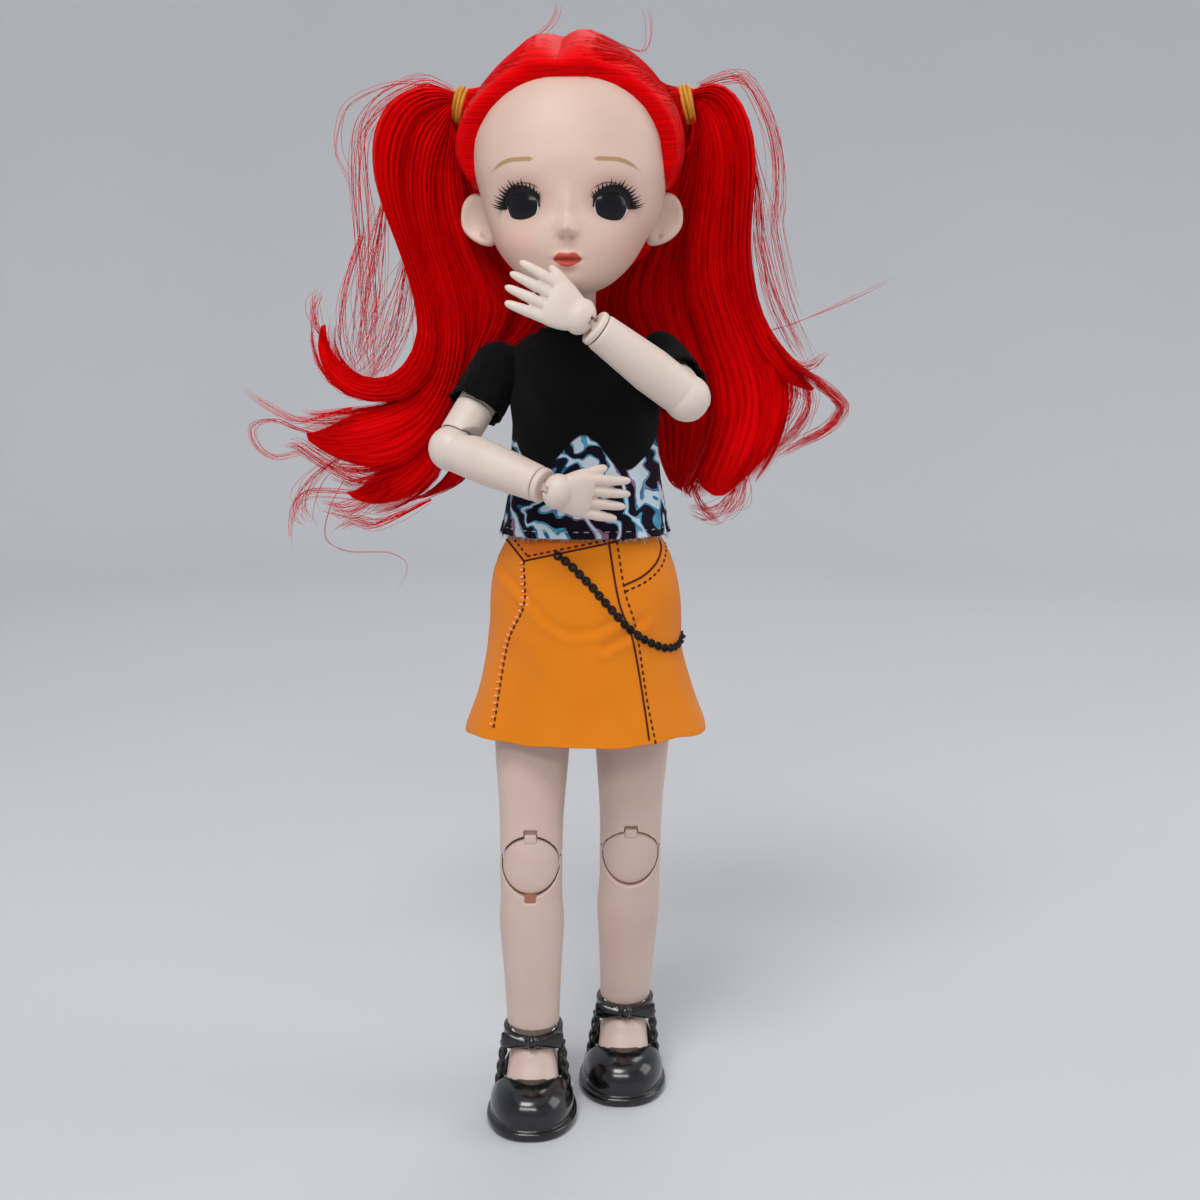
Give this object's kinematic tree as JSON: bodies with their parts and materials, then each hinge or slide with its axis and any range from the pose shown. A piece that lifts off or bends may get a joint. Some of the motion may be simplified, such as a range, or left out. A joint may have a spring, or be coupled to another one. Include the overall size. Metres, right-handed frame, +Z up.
{
  "type": "jointed fashion doll",
  "caption": "Jointed fashion doll with long bunched hair, a T-shirt, a short skirt and strap shoes, standing with one hand at its chin.",
  "frame": {"origin": "On the floor, below the middle of the bounding box, with the doll standing on both shoes.", "axes": "+Z is up from the floor to the crown, the doll faces -Y, and its left hand side is +X."},
  "size_m": [0.1562, 0.0694, 0.2992],
  "materials": {
    "vinyl_face": "soft satin vinyl",
    "vinyl_arm": "satin moulded plastic",
    "leg_plastic": "satin moulded plastic",
    "pin_plastic": "plain moulded plastic",
    "eye_gloss": "high gloss",
    "red_hair": "straight synthetic fibre with loose curls",
    "tie_rubber": "matte band",
    "black_fabric": "fine black knit with a printed lower band",
    "orange_fabric": "smooth twill with printed seams",
    "shoe_gloss": "glossy moulded plastic"
  },
  "bodies": {
    "pelvis": {"pelvis_front": "leg_plastic", "pelvis_back": "leg_plastic", "skirt": "orange_fabric"},
    "waist": {"waist_ball": "leg_plastic"},
    "chest": {"chest_front": "vinyl_arm", "chest_back": "vinyl_arm", "t_shirt": "black_fabric"},
    "neck": {"neck": "vinyl_face"},
    "head": {"head": "vinyl_face", "hair_cap": "red_hair", "eye_r": "eye_gloss", "eye_l": "eye_gloss", "hair_tie_r": "tie_rubber", "hair_tie_l": "tie_rubber", "ponytail_r": "red_hair", "ponytail_l": "red_hair"},
    "shoulder_r": {"shoulder_ball_r": "vinyl_arm"},
    "upper_arm_r": {"upper_arm_r": "vinyl_arm", "sleeve_r": "black_fabric"},
    "elbow_r": {"elbow_cup_r": "vinyl_arm"},
    "forearm_r": {"forearm_r": "vinyl_arm", "elbow_pin_r": "pin_plastic"},
    "wrist_r": {"wrist_link_r": "vinyl_arm"},
    "hand_r": {"hand_r": "vinyl_arm"},
    "hip_r": {"hip_ball_r": "leg_plastic"},
    "thigh_top_r": {"thigh_top_r": "leg_plastic"},
    "thigh_r": {"thigh_r": "leg_plastic"},
    "knee_r": {"knee_ball_r": "leg_plastic", "knee_pin_upper_r": "pin_plastic", "knee_pin_lower_r": "pin_plastic"},
    "shin_r": {"shin_r": "leg_plastic"},
    "foot_r": {"foot_r": "leg_plastic", "shoe_r": "shoe_gloss", "shoe_strap_r": "shoe_gloss"},
    "shoulder_l": {"shoulder_ball_l": "vinyl_arm"},
    "upper_arm_l": {"upper_arm_l": "vinyl_arm", "sleeve_l": "black_fabric"},
    "elbow_l": {"elbow_cup_l": "vinyl_arm"},
    "forearm_l": {"forearm_l": "vinyl_arm", "elbow_pin_l": "pin_plastic"},
    "wrist_l": {"wrist_link_l": "vinyl_arm"},
    "hand_l": {"hand_l": "vinyl_arm"},
    "hip_l": {"hip_ball_l": "leg_plastic"},
    "thigh_top_l": {"thigh_top_l": "leg_plastic"},
    "thigh_l": {"thigh_l": "leg_plastic"},
    "knee_l": {"knee_ball_l": "leg_plastic", "knee_pin_upper_l": "pin_plastic", "knee_pin_lower_l": "pin_plastic"},
    "shin_l": {"shin_l": "leg_plastic"},
    "foot_l": {"foot_l": "leg_plastic", "shoe_l": "shoe_gloss", "shoe_strap_l": "shoe_gloss"}
  },
  "joints": [
    {"name": "waist_tilt", "type": "hinge", "parent": "pelvis", "child": "waist", "pos_m": [0.00428, 0.00195, 0.15795], "axis": [1, 0, 0], "range_deg": [-12, 15]},
    {"name": "waist_turn", "type": "hinge", "parent": "waist", "child": "chest", "pos_m": [0.00428, 0.00195, 0.15795], "axis": [0, 0, 1], "range_deg": [-20, 20]},
    {"name": "neck_nod", "type": "hinge", "parent": "chest", "child": "neck", "pos_m": [0.00268, 0.00295, 0.21495], "axis": [1, 0, 0], "range_deg": [-8, 4], "deforming": ["ponytail_r", "ponytail_l"]},
    {"name": "head_turn", "type": "hinge", "parent": "neck", "child": "head", "pos_m": [0.00268, 0.00295, 0.21495], "axis": [0, 0, 1], "range_deg": [-45, 45], "deforming": ["ponytail_r", "ponytail_l"]},
    {"name": "shoulder_swing_r", "type": "hinge", "parent": "chest", "child": "shoulder_r", "pos_m": [-0.01912, 0.00195, 0.21045], "axis": [-1, 0, 0], "range_deg": [-15, 40], "deforming": ["t_shirt"]},
    {"name": "shoulder_lift_r", "type": "hinge", "parent": "shoulder_r", "child": "upper_arm_r", "pos_m": [-0.01912, 0.00195, 0.21045], "axis": [0, 0.8651, -0.5015], "range_deg": [0, 50], "deforming": ["t_shirt"]},
    {"name": "upper_arm_turn_r", "type": "hinge", "parent": "upper_arm_r", "child": "elbow_r", "pos_m": [-0.01912, 0.00195, 0.21045], "axis": [-0.4483, -0.4483, -0.7733], "range_deg": [0, 40]},
    {"name": "elbow_bend_r", "type": "hinge", "parent": "elbow_r", "child": "forearm_r", "pos_m": [-0.03123, -0.01015, 0.18957], "axis": [-0.2671, -0.7584, 0.5945], "range_deg": [-60, 12]},
    {"name": "wrist_turn_r", "type": "hinge", "parent": "forearm_r", "child": "wrist_r", "pos_m": [-0.00216, -0.02804, 0.17981], "axis": [0.8189, -0.5039, -0.2749], "range_deg": [-35, 35]},
    {"name": "wrist_bend_r", "type": "hinge", "parent": "wrist_r", "child": "hand_r", "pos_m": [-0.00216, -0.02804, 0.17981], "axis": [0.2341, -0.1441, 0.9615], "range_deg": [-50, 8]},
    {"name": "hip_swing_r", "type": "hinge", "parent": "pelvis", "child": "hip_r", "pos_m": [-0.00972, 0.00195, 0.13945], "axis": [-1, 0, 0], "range_deg": [-14, 7]},
    {"name": "hip_spread_r", "type": "hinge", "parent": "hip_r", "child": "thigh_top_r", "pos_m": [-0.00972, 0.00195, 0.13945], "axis": [0, 0.9902, -0.1398], "range_deg": [0, 5]},
    {"name": "thigh_turn_r", "type": "hinge", "parent": "thigh_top_r", "child": "thigh_r", "pos_m": [-0.00972, 0.00195, 0.13945], "axis": [0, -0.1398, -0.9902], "range_deg": [-25, 25]},
    {"name": "knee_upper_r", "type": "hinge", "parent": "thigh_r", "child": "knee_r", "pos_m": [-0.00972, -0.00702, 0.07588], "axis": [1, 0, 0], "range_deg": [-4, 40]},
    {"name": "knee_lower_r", "type": "hinge", "parent": "knee_r", "child": "shin_r", "pos_m": [-0.00972, -0.00752, 0.0689], "axis": [1, 0, 0], "range_deg": [-4, 45]},
    {"name": "ankle_r", "type": "hinge", "parent": "shin_r", "child": "foot_r", "pos_m": [-0.00972, -0.00755, 0.0245], "axis": [-1, 0, 0], "range_deg": [-12, 15]},
    {"name": "shoulder_swing_l", "type": "hinge", "parent": "chest", "child": "shoulder_l", "pos_m": [0.02768, 0.00195, 0.21045], "axis": [-1, 0, 0], "range_deg": [-50, 5], "deforming": ["t_shirt"]},
    {"name": "shoulder_lift_l", "type": "hinge", "parent": "shoulder_l", "child": "upper_arm_l", "pos_m": [0.02768, 0.00195, 0.21045], "axis": [0, -0.2495, 0.9684], "range_deg": [0, 50], "deforming": ["t_shirt"]},
    {"name": "upper_arm_turn_l", "type": "hinge", "parent": "upper_arm_l", "child": "elbow_l", "pos_m": [0.02768, 0.00195, 0.21045], "axis": [0.1474, -0.9578, -0.2468], "range_deg": [-30, 20]},
    {"name": "elbow_bend_l", "type": "hinge", "parent": "elbow_l", "child": "forearm_l", "pos_m": [0.03166, -0.02391, 0.20379], "axis": [-0.6192, 0.1053, -0.7781], "range_deg": [-60, 0]},
    {"name": "wrist_turn_l", "type": "hinge", "parent": "forearm_l", "child": "wrist_l", "pos_m": [0.00406, -0.03179, 0.22468], "axis": [-0.7773, -0.2221, 0.5886], "range_deg": [-35, 35]},
    {"name": "wrist_bend_l", "type": "hinge", "parent": "wrist_l", "child": "hand_l", "pos_m": [0.00406, -0.03179, 0.22468], "axis": [0.5659, 0.1617, 0.8085], "range_deg": [-8, 30]},
    {"name": "hip_swing_l", "type": "hinge", "parent": "pelvis", "child": "hip_l", "pos_m": [0.01828, 0.00195, 0.13945], "axis": [-1, 0, 0], "range_deg": [-6, 16]},
    {"name": "hip_spread_l", "type": "hinge", "parent": "hip_l", "child": "thigh_top_l", "pos_m": [0.01828, 0.00195, 0.13945], "axis": [0, -0.999, -0.044], "range_deg": [0, 5]},
    {"name": "thigh_turn_l", "type": "hinge", "parent": "thigh_top_l", "child": "thigh_l", "pos_m": [0.01828, 0.00195, 0.13945], "axis": [0, 0.044, -0.999], "range_deg": [-25, 25]},
    {"name": "knee_upper_l", "type": "hinge", "parent": "thigh_l", "child": "knee_l", "pos_m": [0.01828, 0.00478, 0.07531], "axis": [1, 0, 0], "range_deg": [-4, 40]},
    {"name": "knee_lower_l", "type": "hinge", "parent": "knee_l", "child": "shin_l", "pos_m": [0.01828, 0.00549, 0.06835], "axis": [1, 0, 0], "range_deg": [-4, 45]},
    {"name": "ankle_l", "type": "hinge", "parent": "shin_l", "child": "foot_l", "pos_m": [0.01828, 0.01245, 0.0245], "axis": [-1, 0, 0], "range_deg": [-12, 15]}
  ]
}
